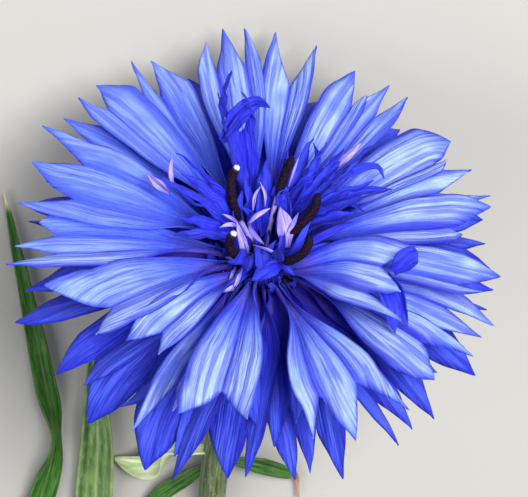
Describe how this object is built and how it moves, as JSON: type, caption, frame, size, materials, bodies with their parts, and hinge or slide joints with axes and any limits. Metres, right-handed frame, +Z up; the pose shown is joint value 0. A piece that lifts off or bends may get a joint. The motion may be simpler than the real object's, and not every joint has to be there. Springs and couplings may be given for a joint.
{
  "type": "cornflower",
  "caption": "A picked cornflower lying on its side: blue ray florets in whorls, a dark centre, a green involucre, a bent stem and narrow leaves.",
  "frame": {"origin": "on the surface it lies on, below the middle of its bounding box", "axes": "+Y from the cut end of the stem towards the head, +Z up from the surface, +X to the right when looking along +Y"},
  "size_m": [0.0504, 0.1144, 0.0418],
  "materials": {
    "ray_petal": "matte velvety petal",
    "disc_petal": "matte deep-blue petal",
    "anther": "dull near-black purple",
    "bract": "green scales with dark fringed edges",
    "stem_skin": "ribbed, downy grey-green",
    "leaf_blade": "satin green, thinly downy",
    "pale_blade": "pale cream-green, thinly downy"
  },
  "bodies": {
    "root": {"anther_column_1": "anther", "anther_column_2": "anther", "anther_column_3": "anther", "anther_column_4": "anther", "anther_column_5": "anther", "broad_leaf": "leaf_blade", "disc_floret_01": "disc_petal", "disc_floret_02": "disc_petal", "disc_floret_03": "disc_petal", "disc_floret_04": "disc_petal", "disc_floret_05": "disc_petal", "disc_floret_06": "disc_petal", "disc_floret_07": "disc_petal", "disc_floret_08": "disc_petal", "disc_floret_09": "disc_petal", "disc_floret_10": "disc_petal", "involucre": "bract", "long_leaf": "leaf_blade", "lower_ray_01": "ray_petal", "lower_ray_02": "ray_petal", "lower_ray_03": "ray_petal", "lower_ray_04": "ray_petal", "lower_ray_05": "ray_petal", "lower_ray_06": "ray_petal", "lower_ray_07": "ray_petal", "lower_ray_08": "ray_petal", "lower_ray_09": "ray_petal", "lower_ray_10": "ray_petal", "lower_ray_11": "ray_petal", "lower_ray_12": "ray_petal", "lower_ray_13": "ray_petal", "lower_ray_14": "ray_petal", "lower_ray_15": "ray_petal", "lower_ray_16": "ray_petal", "middle_ray_01": "ray_petal", "middle_ray_02": "ray_petal", "middle_ray_03": "ray_petal", "middle_ray_04": "ray_petal", "middle_ray_05": "ray_petal", "middle_ray_06": "ray_petal", "middle_ray_07": "ray_petal", "middle_ray_08": "ray_petal", "middle_ray_09": "ray_petal", "pale_leaf": "pale_blade", "side_leaf": "leaf_blade", "stem": "stem_skin", "thin_leaf": "leaf_blade", "upper_ray_01": "ray_petal", "upper_ray_02": "ray_petal", "upper_ray_03": "ray_petal", "upper_ray_04": "ray_petal", "upper_ray_05": "ray_petal", "upper_ray_06": "ray_petal", "upper_ray_07": "ray_petal", "upper_ray_08": "ray_petal", "upper_ray_09": "ray_petal", "upper_ray_10": "ray_petal", "upper_ray_11": "ray_petal", "upper_ray_12": "ray_petal"}
  },
  "joints": []
}
